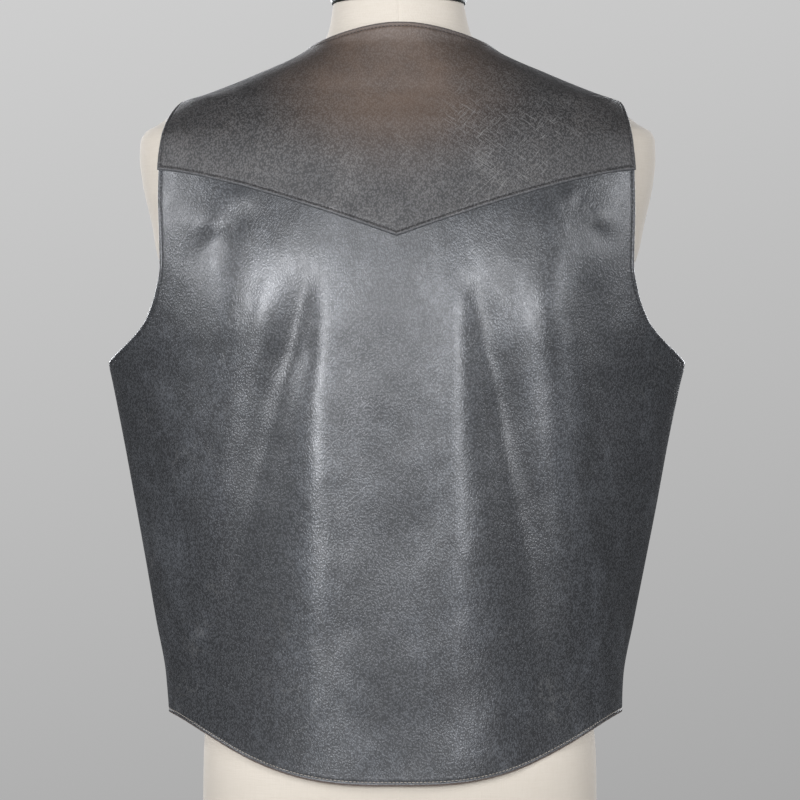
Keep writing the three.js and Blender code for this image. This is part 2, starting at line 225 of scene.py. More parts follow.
# Rows across the panels, from the lowest edge up: height at the centre or front edge, height at the
# side, and how round the row is at each of these.
BACK_ROWS = np.array([
    (85, 135, 2.95, 1.53),
    (377, 432, 1.6, 1.3),
    (533, 590.5, 1, 1.3),
    (545, 602.5, 1, 1.3),
])
YOKE_ROWS = np.array([
    (533, 590.5, 1, 1.3),
    (545, 602.5, 1, 1.3),
    (640, 650, 1.2, 1.1),
    (713, 697, 1.75, 1),
])
FRONT_ROWS = np.array([
    (90, 135, 2.95, 1.53),
    (470, 432, 1.3, 1),
    (515, 480, 1.1, 1),
    (697, 650, 1, 1),
])

# Folds: top x and height, low x and height, bow to the side, rise, width at the top and low end.
BACK_FOLDS = (
    (60, 556, 62, 40, 1, 2.9, 15, 20),
    (66, 530, 160, 20, 9, -6.2, 15, 28),
    (122, 566, 190, 150, 6, 5.2, 26, 34),
    (90, 556, 110, 390, 2, 1.1, 15, 18),
    (112, 574, 176, 524, 4, 1.6, 11, 14),
    (120, 562, 176, 500, 4, -1.8, 11, 16),
    (-46, 552, -56, 40, 0, 2.8, 15, 20),
    (-62, 530, -148, -120, -8, -6.2, 15, 30),
    (-100, 548, -172, 90, -9, 5.2, 23, 28),
    (-118, 570, -132, 420, -2, 1.2, 15, 18),
    (-150, 530, -192, 160, 2, -3.0, 15, 24),
    (-130, 574, -188, 540, 6, 1.5, 10, 13),
    (-140, 566, -184, 526, 5, -1.7, 11, 15),
    (2, 430, -4, -40, 0, -1.6, 20, 30),
)
FRONT_FOLDS = (
    (82, 560, 62, 150, -4, 4.6, 15, 27),
    (112, 530, 112, 80, 3, -6.0, 15, 28),
    (148, 490, 158, 100, 3, 5.0, 17, 27),
    (-78, 552, -56, 140, 4, 4.2, 14, 26),
    (-110, 536, -106, 70, -3, -6.4, 15, 29),
    (-150, 486, -152, 110, -3, 4.6, 17, 27),
)

# Creases finer than the part's folds, in the same columns.
BACK_CREASES = (
    (68, 512, 82, 400, 2, -0.5, 7, 11),
    (124, 552, 172, 536, 2, 0.4, 5, 7),
    (128, 548, 170, 506, 2, -0.5, 5, 8),
    (104, 500, 120, 380, 3, 0.5, 7, 10),
    (132, 470, 150, 350, 2, -0.6, 5, 9),
    (-64, 508, -76, 400, 1, -0.5, 7, 11),
    (-88, 520, -92, 420, -1, -0.4, 7, 10),
    (-150, 566, -178, 548, 2, 0.4, 5, 7),
    (-150, 558, -186, 520, 2, -0.5, 5, 8),
    (-140, 470, -150, 330, 2, 0.6, 5, 9),
    (160, 330, 172, 190, -3, 0.9, 8, 12),
    (-168, 300, -176, 180, 3, 0.9, 8, 12),
    (30, 300, 34, 120, 2, 0.4, 10, 14),
    (-14, 330, -20, 130, -2, -0.4, 10, 14),
)
FRONT_CREASES = (
    (96, 540, 92, 380, 2, -0.7, 4, 7),
    (130, 500, 136, 330, 2, 0.6, 5, 8),
    (160, 520, 200, 470, 3, -0.9, 4, 6),
    (-94, 530, -86, 370, -2, -0.7, 4, 7),
    (-128, 490, -132, 320, 2, 0.6, 5, 8),
    (-162, 516, -200, 466, 3, -0.9, 4, 6),
)

# Soft lights: name, azimuth from the camera's side, distance, lowest and highest edge, width and
# brightness, in degrees and metres.
SOFTBOXES = (
    ("left_key", 26, 3.0, 0.22, 0.88, 0.80, 2.50),
    ("right_key", -25, 3.0, 0.22, 0.86, 0.80, 1.90),
    ("middle_fill", 0, 3.3, 0.32, 1.04, 0.8, 1.00),
    ("high_fill", 8, 3.0, 1.25, 2.10, 1.6, 0.42),
    ("left_side", 70, 2.6, 0.65, 1.40, 0.9, 1.00),
    ("right_side", -70, 2.6, 0.65, 1.40, 0.9, 0.75),
    ("front_left", 154, 3.2, 0.6, 2.0, 1.4, 1.00),
    ("front_right", -154, 3.2, 0.4, 1.8, 1.4, 0.70),
)

# The soft lights' cool cast. Each aims at the form's axis, at this share of its own height plus a lift.
DAYLIGHT = (0.965, 0.985, 1.03)
AIM_SHARE = 0.6
AIM_LIFT = 0.18

# The backdrop's slow change of brightness, up and across, over the view's reach each way, and the tint
# of the room's own light.
VIEW_REACH = 0.13
BACKDROP_SLOPES = (("Z", 0.102), ("X", 0.024))
ROOM_TINT = (0.95, 0.97, 1.0, 1.0)

# The floor, a disc: radii and heights of its profile.
FLOOR_PROFILE = ((466, -9), (470, -6), (470, -3), (467, -0.6), (462, -0.05))
FLOOR_ROUND = 128

# The camera: focal length and film width in millimetres, and its place in metres, behind the vest.
LENS = 153.5
FILM_WIDTH = 36.0
EYE = (-0.0026, 2.9, 0.4)

# Scratches in the hide: lean from the level in radians, length against width, closeness, and a shift
# that sets each family apart.
SCRATCHES = (
    (0.66, 26.0, 1500.0, 0.0),
    (0.56, 20.0, 1100.0, 3.1),
    (-0.74, 26.0, 1500.0, 5.7),
    (-0.92, 16.0, 1200.0, 8.3),
)

# Places on the leather, as centre and radius in metres: the yoke's two worn patches and the neck, where a
# warm reflection is painted.
WORN_YOKE_RIGHT = ((-0.100, 0.100, 0.602), 0.095)
WORN_YOKE_MIDDLE = ((-0.010, 0.110, 0.600), 0.120)
NECK_REFLECTION_PATCH = ((0.004, 0.085, 0.690), 0.135)

# Colour of the painted shade in the grain's hollows, and how far noise pushes the pebbles and the cracks, in
# metres.
PIT_SHADE_COLOUR = (0.008, 0.0085, 0.0095)
PEBBLE_PUSH = 0.0026
CRACK_PUSH = 0.009

# Distances from a finished edge at which a panel has a line of points.
EDGE_STEPS = (0, 0.3, 0.7, 1.2, 1.9, 2.6, 3.0, 3.4, 3.8, 4.3, 5.2, 6.6, 8.6)


def size_property(name, description, default):
    """A length that a user would change, in metres."""
    return FloatProperty(name=name, description=description, default=default, unit="LENGTH")


def colour_property(name, description, default):
    """A colour that a user would change."""
    return FloatVectorProperty(name=name, description=description, default=default, subtype="COLOR")


class VestSizes(bpy.types.PropertyGroup):
    """Sizes of the vest's finer details."""

    spacing: size_property("Mesh spacing", "Distance between the points of a leather panel", 0.003)
    edge_roll: size_property("Edge roll", "Radius of the turned edges", 0.001)
    stitch_inset: size_property("Stitch inset", "Distance of the topstitching from an edge", 0.0034)
    stitch_pitch: size_property("Stitch pitch", "Distance from one stitch to the next", 0.0032)
    stitch_length: size_property("Stitch length", "Length of thread that shows in a stitch", 0.0023)
    thread: size_property("Thread", "Thickness of the thread", 0.0006)
    groove: size_property("Stitch groove", "Depth to which the topstitching pulls the leather in", 0.00045)
    grain: size_property("Grain", "Size of the pebbles in the leather's grain", 0.00138)
    crease: FloatProperty(
        name="Crease depth",
        description="Share of their full depth that the fine creases have",
        default=1.0,
        subtype="FACTOR",
        min=0.0,
        max=1.5,
    )


class VestColours(bpy.types.PropertyGroup):
    """Colours of the vest and the form."""

    leather: colour_property("Leather", "Dyed hide", (0.034, 0.035, 0.037))
    # Lighter hide where the dye has rubbed thin, also used for painted highlights on fold crests, pebble
    # tops and edges.
    worn: colour_property("Worn leather", "Hide where the dye has rubbed thin", (0.082, 0.086, 0.093))
    # Brown of the hide along the hem; it also paints a warm reflection round the neck.
    tan: colour_property(
        "Tan leather and painted reflection", "Brown cast of the hide round the neck and along the hem", (0.135, 0.086, 0.058)
    )
    yoke: colour_property("Yoke leather", "Browner hide of the back yoke", (0.046, 0.036, 0.028))
    yoke_worn: colour_property(
        "Worn yoke leather", "Yoke hide where the dye has rubbed thin", (0.104, 0.082, 0.063)
    )
    scuff: colour_property("Scuffs", "Scratches and cracks through the dye", (0.24, 0.235, 0.225))
    flesh: colour_property("Flesh side", "Unfinished inner side of the hide", (0.070, 0.064, 0.060))
    dark_thread: colour_property(
        "Dark thread", "Thread of the armholes, yoke, neck and fronts", (0.020, 0.020, 0.022)
    )
    pale_thread: colour_property("Pale thread", "Thread of the hem", (0.36, 0.32, 0.27))
    linen: colour_property("Linen", "Cover of the dress form", (0.655, 0.603, 0.535))
    cap: colour_property("Neck cap", "Bronzed metal of the neck cap", (0.050, 0.058, 0.052))
    snap: colour_property("Snaps", "Antiqued metal of the snaps", (0.30, 0.27, 0.23))


class StudioSettings(bpy.types.PropertyGroup):
    """Light, floor and backdrop."""

    key: FloatProperty(
        name="Main light",
        description="Power of a square metre of a softbox of brightness 1, in watts",
        default=38.0,
    )
    ambient: FloatProperty(
        name="Ambient",
        description="Brightness of the room around the form",
        default=0.10,
    )
    backdrop: FloatProperty(
        name="Backdrop",
        description="Brightness of the plain backdrop",
        default=0.505,
    )
    floor: colour_property("Floor", "Colour of the floor", (0.62, 0.61, 0.60))


def smoothstep(low, high, x):
    t = np.clip((x - low) / (high - low), 0, 1)
    return t * t * (3 - 2 * t)


def lerp(a, b, t):
    return a + (b - a) * t


def signed_power(x, power):
    return np.sign(x) * np.abs(x) ** power


def unit(v):
    return v / np.maximum(np.linalg.norm(v, axis=-1, keepdims=True), 1e-12)


def column(table, index):
    """A column of a table as a smooth function of height that never overshoots its rows."""
    heights = table[:, 0]
    values = table[:, index]
    slopes = np.diff(values) / np.diff(heights)
    below = slopes[:-1]
    above = slopes[1:]
    total = np.where(below + above == 0, 1, below + above)
    inner = np.where(below * above <= 0, 0, 2 * below * above / total)
    tangents = np.concatenate([slopes[:1], inner, slopes[-1:]])

    def at(height):
        h = np.clip(height, heights[0], heights[-1])
        i = np.clip(np.searchsorted(heights, h) - 1, 0, len(slopes) - 1)
        step = heights[i + 1] - heights[i]
        t = (h - heights[i]) / step
        start = values[i] * (1 + 2 * t) * (1 - t) ** 2
        end = values[i + 1] * t * t * (3 - 2 * t)
        return start + end + step * t * (1 - t) * (tangents[i] * (1 - t) - tangents[i + 1] * t)

    return at


form_side, form_back, form_front, form_power, form_lean = (column(FORM, i) for i in range(1, 6))
cap_grow = column(NECK_CAP, 1)
vest_side, vest_back, back_flat, vest_front, front_flat, vest_lean = (column(VEST, i) for i in range(1, 7))
armhole_back, armhole_front = (column(ARMHOLE, i) for i in range(1, 3))


def fold_lift(folds, x, z):
    """How far folds or creases lift the leather."""
    total = np.zeros(np.broadcast(x, z).shape)
    for top_x, top_z, low_x, low_z, bow, rise, top_width, low_width in folds:
        dx = low_x - top_x
        dz = low_z - top_z
        length = math.hypot(dx, dz)
        t = ((x - top_x) * dx + (z - top_z) * dz) / length**2
        aside = ((x - top_x) * dz - (z - top_z) * dx) / length + bow * 4 * t * (1 - t)
        width = lerp(top_width, low_width, np.clip(t, 0, 1))
        shown = smoothstep(0, FOLD_FADE[0], t) * (1 - smoothstep(FOLD_FADE[1], 1, t))
        total = total + rise * shown * np.exp(-((aside / width) ** 2))
    return total


def waves(seed, count, size, tall):
    """Sine waves of many directions, whose sum is a soft uneven surface."""
    rng = np.random.default_rng(seed)
    turn = rng.uniform(0, math.pi, count)
    length = size * rng.uniform(0.7, 1.6, count)
    phase = rng.uniform(0, 2 * math.pi, count)
    across = 2 * math.pi * np.cos(turn) / length
    up = 2 * math.pi * np.sin(turn) / length / tall
    return np.stack([across, up, phase], 1)


BACK_WAVES = waves(7, 14, 62, 1.7)
FRONT_WAVES = waves(11, 14, 66, 1.7)
SMALL_WAVES = waves(23, 22, 17, 1.5)


def wave_sum(table, x, z):
    total = np.zeros(np.broadcast(x, z).shape)
    for kx, kz, phase in table:
        total = total + np.sin(kx * x + kz * z + phase)
    return total / math.sqrt(len(table))


def relief(face, x, z):
    """Creases and soft unevenness, finer than the part's folds."""
    depth = bpy.context.scene.vest_sizes.crease
    creases = fold_lift(BACK_CREASES if face > 0 else FRONT_CREASES, x, z)
    broad = wave_sum(BACK_WAVES if face > 0 else FRONT_WAVES, x, z)
    small = wave_sum(SMALL_WAVES, x, z)
    loose = 1 - smoothstep(*TIGHTENS, z)
    fine = SMALL_WAVE * small * (TIGHT_SHARE + (1 - TIGHT_SHARE) * loose)
    return depth * (creases + BROAD_WAVE * broad * loose + fine)


def reach_of(turn):
    """How far out a turn lies in plan, from 0 at the middle to 1 at the side."""
    return signed_power(np.sin(turn), 2 / VEST_POWER)


def plan_width(turn, z):
    return vest_side(z) * reach_of(turn)


def skin(face, turn, z):
    """Points of the leather's inner face. turn is 0 at the middle and a quarter circle at the sides."""
    depth = vest_back(z) if face > 0 else vest_front(z)
    flat = back_flat(z) if face > 0 else front_flat(z)
    folds = BACK_FOLDS if face > 0 else FRONT_FOLDS
    x = plan_width(turn, z)
    y = depth * np.maximum(np.cos(turn), 0) ** (2 * flat)
    lift = (fold_lift(folds, x, z) + relief(face, x, z)) * smoothstep(0, SIDE_CALM, y)
    return np.stack([x + vest_lean(z), face * (SEAM_GAP / 2 + y + lift), z + 0 * x], -1)


def outward(face, turn, z):
    """The skin's outward direction. At the seams it has no part towards the other piece."""
    small = 0.004
    low = np.maximum(turn - small, -math.pi / 2)
    high = np.minimum(turn + small, math.pi / 2)
    across = skin(face, high, z) - skin(face, low, z)
    up = skin(face, turn, z + 0.5) - skin(face, turn, z - 0.5)
    side = np.sign(turn)
    at_seam = np.abs(np.abs(turn) - math.pi / 2) < 1e-6
    seam = np.stack([side * up[..., 2], np.zeros_like(side), -side * up[..., 0]], -1)
    free = face * np.cross(up, across)
    return unit(np.where(at_seam[..., None], seam, free))


def turn_at(x, z):
    return np.arcsin(signed_power(np.clip(x / vest_side(z), -1, 1), VEST_POWER / 2))


def side_turn(edge, z):
    """Where a panel's outer edge lies, on the side seam, armhole or shoulder seam."""
    on_seam = (z <= UNDERARM) | (z >= SHOULDER_TIP)
    return np.where(on_seam, math.pi / 2, turn_at(edge(z), z))


def row_height(rows, reach):
    centre, side, dip, bend = (rows[:, i : i + 1] for i in range(4))
    return lerp(centre, side, 1 - (1 - np.clip(reach, 0, 1) ** dip) ** bend)


def spread(start, end, side_height, share):
    """Turns of a row's points, and how far across the plan each lies, from 0 to 1."""
    low = reach_of(start)
    high = reach_of(end)
    reaches = []
    for last, width in ((math.pi / 2 + 0 * end, 1.0), (end, high)):
        at = reach_of(lerp(start, last, share))
        reaches.append((at - low) / np.maximum(width - low, 1e-6))
    reach = lerp(*reaches, smoothstep(UNDERARM, 490, side_height))
    turn = np.arcsin(np.clip(signed_power(lerp(low, high, reach), VEST_POWER / 2), -1, 1))
    return turn, reach


def divide(length, spacing, first, last):
    """Shares of a length, closer together beside a finished edge at its first or last end."""
    near = [s / length for s in EDGE_STEPS if s < length / 2.2]
    start = near if first else [0.0]
    end = [1 - s for s in reversed(near)] if last else [1.0]
    count = max(1, math.ceil((end[0] - start[-1]) * length / spacing))
    middle = np.linspace(start[-1], end[0], count + 1)[1:-1]
    return np.array([*start, *middle, *end])


def rows_of(stages, spacing, first, last):
    """Every row of a panel, from the rows that its table gives."""
    rows = [stages[:1]]
    for i in range(1, len(stages)):
        length = np.abs(stages[i, :2] - stages[i - 1, :2]).max()
        share = divide(length, spacing, first and i == 1, last and i == len(stages) - 1)[1:, None]
        rows.append(lerp(stages[i - 1], stages[i], share))
    return np.concatenate(rows)


def back_place(rows, across, lift):
    """Turn, height and lift of a back panel's points."""
    end = side_turn(armhole_back, rows[:, 1:2])
    turn, reach = spread(0 * end, end, rows[:, 1:2], np.abs(across)[None, :])
    z = row_height(rows, reach)
    return np.sign(across)[None, :] * turn, z, lift + 0 * z


def front_edge(z):
    t = np.clip((z - V_BREAK) / (NECK_POINT - V_BREAK), 0, 1)
    return lerp(-LAP_HALF, vest_side(NECK_POINT), t**V_CURVE)


def front_place(rows, across, side):
    """Turn, height and lift of a front's points, where side is 1 on the wearer's left."""
    a = across[None, :]
    edge_height = rows[:, :1]
    start = np.where(edge_height >= NECK_POINT, math.pi / 2, turn_at(front_edge(edge_height), edge_height))
    end = side_turn(armhole_front, rows[:, 1:2])
    turn, reach = spread(start, end, rows[:, 1:2], a)
    upper = smoothstep(UNDERARM, SHOULDER_TIP, rows[:, 1:2])
    z = row_height(rows, lerp(reach, a, upper))
    lap = 1 - smoothstep(*LAP_FADE, plan_width(turn, z)) if side > 0 else 0 * z
    shoulder = smoothstep(*SHOULDER_RISE, z)
    return side * turn, z, np.maximum(lap, shoulder) * LAP_LIFT


def arc_length(line):
    """Distance of each of a line's points from its start."""
    steps = np.linalg.norm(np.diff(line, axis=0), axis=1)
    return np.concatenate([[0], np.cumsum(steps)])


def at_marks(marks, along, values):
    """Three columns of values, read at distances along a line."""
    return np.stack([np.interp(marks, along, values[:, k]) for k in range(3)], 1)


def distance_to(points, line):
    """Distance of each point from a line of points."""
    along = arc_length(line)
    fine = at_marks(np.linspace(0, along[-1], max(2, int(along[-1] / LINE_STEP))), along, line)
    tree = KDTree(len(fine))
    for i, p in enumerate(fine):
        tree.insert(p, i)
    tree.balance()
    flat = points.reshape(-1, 3)
    found = np.array([tree.find(p)[2] for p in flat])
    return found.reshape(points.shape[:-1])


def rolled(distance, radius):
    """How far a rounded edge drops at a distance from it."""
    inside = np.clip(1 - distance / radius, 0, 1)
    return radius * (1 - np.sqrt(1 - inside**2))


def make_mesh(name, points, faces, materials, face_materials=None):
    """A smooth mesh object from points in millimetres."""
    mesh = bpy.data.meshes.new(name)
    mesh.from_pydata((points * MM).tolist(), [], faces)
    for material in materials:
        mesh.materials.append(material)
    if face_materials is not None:
        mesh.polygons.foreach_set("material_index", face_materials.astype(np.int32))
    mesh.shade_smooth()
    mesh.update()
    piece = bpy.data.objects.new(name, mesh)
    bpy.context.scene.collection.objects.link(piece)
    return piece


def add_field(piece, name, values):
    """Stores a number at each point for the materials to read."""
    field = piece.data.attributes.new(name, "FLOAT", "POINT")
    field.data.foreach_set("value", values.astype(np.float32).ravel())


def quads(a, b, c, d):
    return np.stack([a.ravel(), b.ravel(), c.ravel(), d.ravel()], 1)


class Panel:
    """A panel of leather: its points, outward directions and distances from its edges."""

    def __init__(self, face, turn, z, lift, edges, seams, yoke=0.0):
        sizes = bpy.context.scene.vest_sizes
        self.yoke = yoke
        self.inset = sizes.stitch_inset / MM
        self.normal = outward(face, turn, z)
        base = skin(face, turn, z)
        middle = base + self.normal * (lift + LEATHER / 2)[..., None]
        self.edges = {name: distance_to(middle, pick(middle)) for name, pick in edges.items()}
        seam = np.minimum.reduce([distance_to(middle, pick(middle)) for pick in seams])
        edge = np.minimum.reduce(list(self.edges.values()))
        groove = sizes.groove / MM * np.exp(-(((edge - self.inset) / GROOVE_WIDTH) ** 2))
        puff = sum(rise * np.exp(-(((edge - place) / width) ** 2)) for rise, place, width in PUFFS)
        drop = rolled(edge, sizes.edge_roll / MM) + rolled(seam, SEAM_ROLL) + groove - puff
        raised = lift + LEATHER - drop
        hollow = lift + rolled(edge, INNER_ROLL) + rolled(seam, INNER_ROLL)
        self.outer = base + self.normal * raised[..., None]
        self.inner = base + self.normal * hollow[..., None]
        self.edge = edge
        self.folds = fold_lift(BACK_FOLDS if face > 0 else FRONT_FOLDS, base[..., 0], z)

    def build(self, name, outside, inside):
        """The panel as a closed wall."""
        rows, across = self.edge.shape
        index = np.arange(2 * rows * across).reshape(2, rows, across)
        low, high = index
        parts = [
            quads(high[:-1, :-1], high[1:, :-1], high[1:, 1:], high[:-1, 1:]),
            quads(low[0, :-1], high[0, :-1], high[0, 1:], low[0, 1:]),
            quads(low[-1, :-1], low[-1, 1:], high[-1, 1:], high[-1, :-1]),
            quads(low[:-1, 0], low[1:, 0], high[1:, 0], high[:-1, 0]),
            quads(low[:-1, -1], high[:-1, -1], high[1:, -1], low[1:, -1]),
            quads(low[:-1, :-1], low[:-1, 1:], low[1:, 1:], low[1:, :-1]),
        ]
        inner = len(parts) - 1
        kinds = np.concatenate([np.full(len(p), int(i == inner)) for i, p in enumerate(parts)])
        faces = np.concatenate(parts)
        if self.turned():
            faces = faces[:, ::-1]
        points = np.concatenate([self.inner.reshape(-1, 3), self.outer.reshape(-1, 3)])
        piece = make_mesh(name, points, faces.tolist(), [outside, inside], kinds)
        add_field(piece, "edge_mm", np.tile(self.edge.ravel(), 2))
        add_field(piece, "fold_mm", np.tile(self.folds.ravel(), 2))
        add_field(piece, "yoke", np.full(2 * self.edge.size, self.yoke))
        return piece

    def turned(self):
        """Whether the points run the other way round."""
        across = self.outer[0, 1] - self.outer[0, 0]
        up = self.outer[1, 0] - self.outer[0, 0]
        return np.dot(np.cross(up, across), self.normal[0, 0]) < 0

    def inset_line(self, edge, by_row, from_end, limit=None):
        """Where the outer face lies the stitches' inset from one of the edges: its points and directions."""
        inset = self.inset
        away = np.minimum.reduce([d for n, d in self.edges.items() if n != edge])
        fields = [self.outer, self.normal, self.edges[edge], away]
        if by_row:
            fields = [np.swapaxes(f, 0, 1) for f in fields]
        if from_end:
            fields = [f[::-1] for f in fields]
        outer, normal, distance, away = fields
        points = []
        normals = []
        for i in range(distance.shape[1]):
            line = distance[:, i]
            if line[0] > inset:
                continue
            j = int(np.argmax(line >= inset))
            if j == 0:
                continue
            t = (inset - line[j - 1]) / (line[j] - line[j - 1])
            point = lerp(outer[j - 1, i], outer[j, i], t)
            if lerp(away[j - 1, i], away[j, i], t) < inset - CORNER_SLACK:
                continue
            if limit is not None and not limit(point):
                continue
            points.append(point)
            normals.append(lerp(normal[j - 1, i], normal[j, i], t))
        return np.array(points), unit(np.array(normals))


def stitch_row(line, normals, sizes, seed):
    """Short rounded stitches along a line, as points and faces."""
    half = sizes.stitch_length / MM / 2
    radius = sizes.thread / MM / 2
    along = arc_length(line)
    count = int(along[-1] / (sizes.stitch_pitch / MM))
    stray = np.random.default_rng(seed).uniform(-STITCH_STRAY, STITCH_STRAY, count)
    marks = (np.arange(count) + 0.5) * along[-1] / max(count, 1) + stray
    centre = at_marks(marks, along, line)
    up = unit(at_marks(marks, along, normals))
    run = unit(at_marks(marks + half, along, line) - at_marks(marks - half, along, line))
    cross = unit(np.cross(up, run))
    angle = np.arange(STITCH_SIDES) / STITCH_SIDES * 2 * math.pi
    points = []
    for reach, swell, rise in STITCH_RINGS:
        hub = centre + run * (reach * half) + up * rise
        for a in angle:
            points.append(hub + (cross * math.cos(a) + up * math.sin(a)) * (radius * swell))
    points = np.stack(points, 1)
    faces = lathe_faces(len(STITCH_RINGS), STITCH_SIDES)
    starts = [k * points.shape[1] for k in range(count)]
    moved = [[v + k for v in f] for part in (faces[:-2], faces[-2:]) for k in starts for f in part]
    return points.reshape(-1, 3), moved


def make_stitches(name, lines, material):
    """Several rows of stitches as one piece."""
    sizes = bpy.context.scene.vest_sizes
    points = []
    faces = []
    total = 0
    for seed, (line, normals) in enumerate(lines):
        made, found = stitch_row(line, normals, sizes, seed)
        points.append(made)
        faces.extend([[v + total for v in f] for f in found])
        total += len(made)
    piece = make_mesh(name, np.concatenate(points), faces, [material])
    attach(piece, "root")
    return piece


class Signal:
    """A socket of a node tree. Arithmetic on it adds the Math nodes that work it out."""

    def __init__(self, tree, socket):
        self.tree = tree
        self.socket = socket

    def math(self, operation, first, second=0.0):
        return add_node(self.tree, "ShaderNodeMath", {"operation": operation}, {0: first, 1: second})

    def __add__(self, other):
        return self.math("ADD", self, other)

    def __radd__(self, other):
        return self.math("ADD", other, self)

    def __sub__(self, other):
        return self.math("SUBTRACT", self, other)

    def __rsub__(self, other):
        return self.math("SUBTRACT", other, self)

    def __mul__(self, other):
        return self.math("MULTIPLY", self, other)

    def __rmul__(self, other):
        return self.math("MULTIPLY", other, self)

    def step(self, low, high):
        """0 below low and 1 above high, with a soft step between."""
        sockets = {"Value": self, "From Min": low, "From Max": high}
        return add_node(self.tree, "ShaderNodeMapRange", {"interpolation_type": "SMOOTHSTEP"}, sockets)


def add_node(tree, kind, settings, sockets, output=0):
    """Adds a node with its settings and the values or links of its sockets, and gives one output."""
    node = tree.nodes.new(kind)
    for name, value in settings.items():
        setattr(node, name, value)
    for name, value in sockets.items():
        if isinstance(value, Signal):
            tree.links.new(value.socket, node.inputs[name])
        else:
            node.inputs[name].default_value = value
    return Signal(tree, node.outputs[output]) if node.outputs else None


def mix(tree, share, first, second):
    """Two colours mixed by a share."""
    colours = [v if isinstance(v, Signal) else (*v[:3], 1.0) for v in (first, second)]
    sockets = {0: share, 6: colours[0], 7: colours[1]}
    return add_node(tree, "ShaderNodeMix", {"data_type": "RGBA"}, sockets, 2)


def vector_math(tree, operation, *values, output=0):
    """Arithmetic on two or three vectors."""
    return add_node(tree, "ShaderNodeVectorMath", {"operation": operation}, dict(enumerate(values)), output)


def read_field(tree, name):
    """A number that a piece stores at its points."""
    return add_node(tree, "ShaderNodeAttribute", {"attribute_name": name}, {}, "Fac")


def stretch(tree, place, scale, turn=(0.0, 0.0, 0.0)):
    sockets = {"Vector": place, "Scale": scale, "Rotation": turn}
    return add_node(tree, "ShaderNodeMapping", {}, sockets)


def noise(tree, place, scale, detail=2.0, roughness=0.5, distortion=0.0, output="Fac"):
    sockets = {
        "Vector": place,
        "Scale": scale,
        "Detail": detail,
        "Roughness": roughness,
        "Distortion": distortion,
    }
    return add_node(tree, "ShaderNodeTexNoise", {}, sockets, output)


def blob(tree, place, centre, radius):
    """1 at a place on the vest and 0 beyond a radius from it, both in metres."""
    apart = vector_math(tree, "DISTANCE", place, centre, output="Value")
    return 1 - apart.step(radius * 0.25, radius)


def new_finish(name):
    """A material, its node tree and the piece's own coordinates."""
    material = bpy.data.materials.new(name)
    material.use_nodes = True
    tree = material.node_tree
    tree.nodes.clear()
    place = add_node(tree, "ShaderNodeTexCoord", {}, {}, "Object")
    return material, tree, place


def shade(tree, height, height_mm, sockets):
    """The surface itself: a Principled shader over a bump whose height is given in millimetres."""
    bumped = add_node(tree, "ShaderNodeBump", {}, {"Height": height, "Distance": height_mm * MM})
    surface = add_node(tree, "ShaderNodeBsdfPrincipled", {}, {**sockets, "Normal": bumped})
    add_node(tree, "ShaderNodeOutputMaterial", {}, {"Surface": surface})


def scratch_lines(tree, place, lean, long, scale, seed):
    """Straight scratches that lean from the level by an angle, as 0 to 1."""
    turned = stretch(tree, place, (1.0, 1.0, 1.0), (0.0, lean, 0.0))
    drawn = stretch(tree, turned, (scale / long, scale / long, scale))
    moved = vector_math(tree, "ADD", drawn, (seed, seed * 2.0, seed))
    return noise(tree, moved, 1.0, 1.0, 0.4).step(0.655, 0.715)


def crackle(tree, place, wander, scale):
    """Fine wandering lines round uneven cells, as 0 to 1."""
    moved = vector_math(tree, "MULTIPLY_ADD", wander, (CRACK_PUSH,) * 3, place)
    sockets = {"Vector": moved, "Scale": scale}
    edge = add_node(tree, "ShaderNodeTexVoronoi", {"feature": "DISTANCE_TO_EDGE"}, sockets, "Distance")
    return 1 - edge.step(0.01, 0.055)


def leather_grain(tree, place, size):
    """The hide's pebbles, drawn lines and fine tooth, and the noise that makes the pebbles uneven."""
    tall = stretch(tree, place, (1.0, 1.0, 0.72))
    wander = noise(tree, tall, 300.0, 2.0, 0.5, 0.0, "Color")
    pushed = vector_math(tree, "MULTIPLY_ADD", wander, (PEBBLE_PUSH,) * 3, tall)
    cells = {"Vector": pushed, "Scale": 1 / size, "Smoothness": 0.25}
    pebble = add_node(tree, "ShaderNodeTexVoronoi", {"feature": "SMOOTH_F1"}, cells, "Distance")
    lines = noise(tree, stretch(tree, place, (1.0, 1.0, 0.5)), 620.0, 3.0, 0.60, 1.4)
    fine = noise(tree, place, 1900.0, 2.0, 0.6)
    return 1 - pebble.step(0.05, 0.75), lines, fine, wander


def crossed_scratches(tree, place, yoke, patch):
    """Scratches that cross each other, thick on the yoke's worn patches and rare elsewhere."""
    crossed = scratch_lines(tree, place, *SCRATCHES[0])
    for family in SCRATCHES[1:]:
        crossed = crossed + scratch_lines(tree, place, *family)
    right = blob(tree, place, *WORN_YOKE_RIGHT)
    middle = blob(tree, place, *WORN_YOKE_MIDDLE)
    rare = noise(tree, place, 16.0, 3.0).step(0.56, 0.70)
    worn = (right + middle * 0.35) * yoke
    return crossed * (worn * (0.45 + 0.55 * patch.step(0.42, 0.62)) + rare * 0.16)


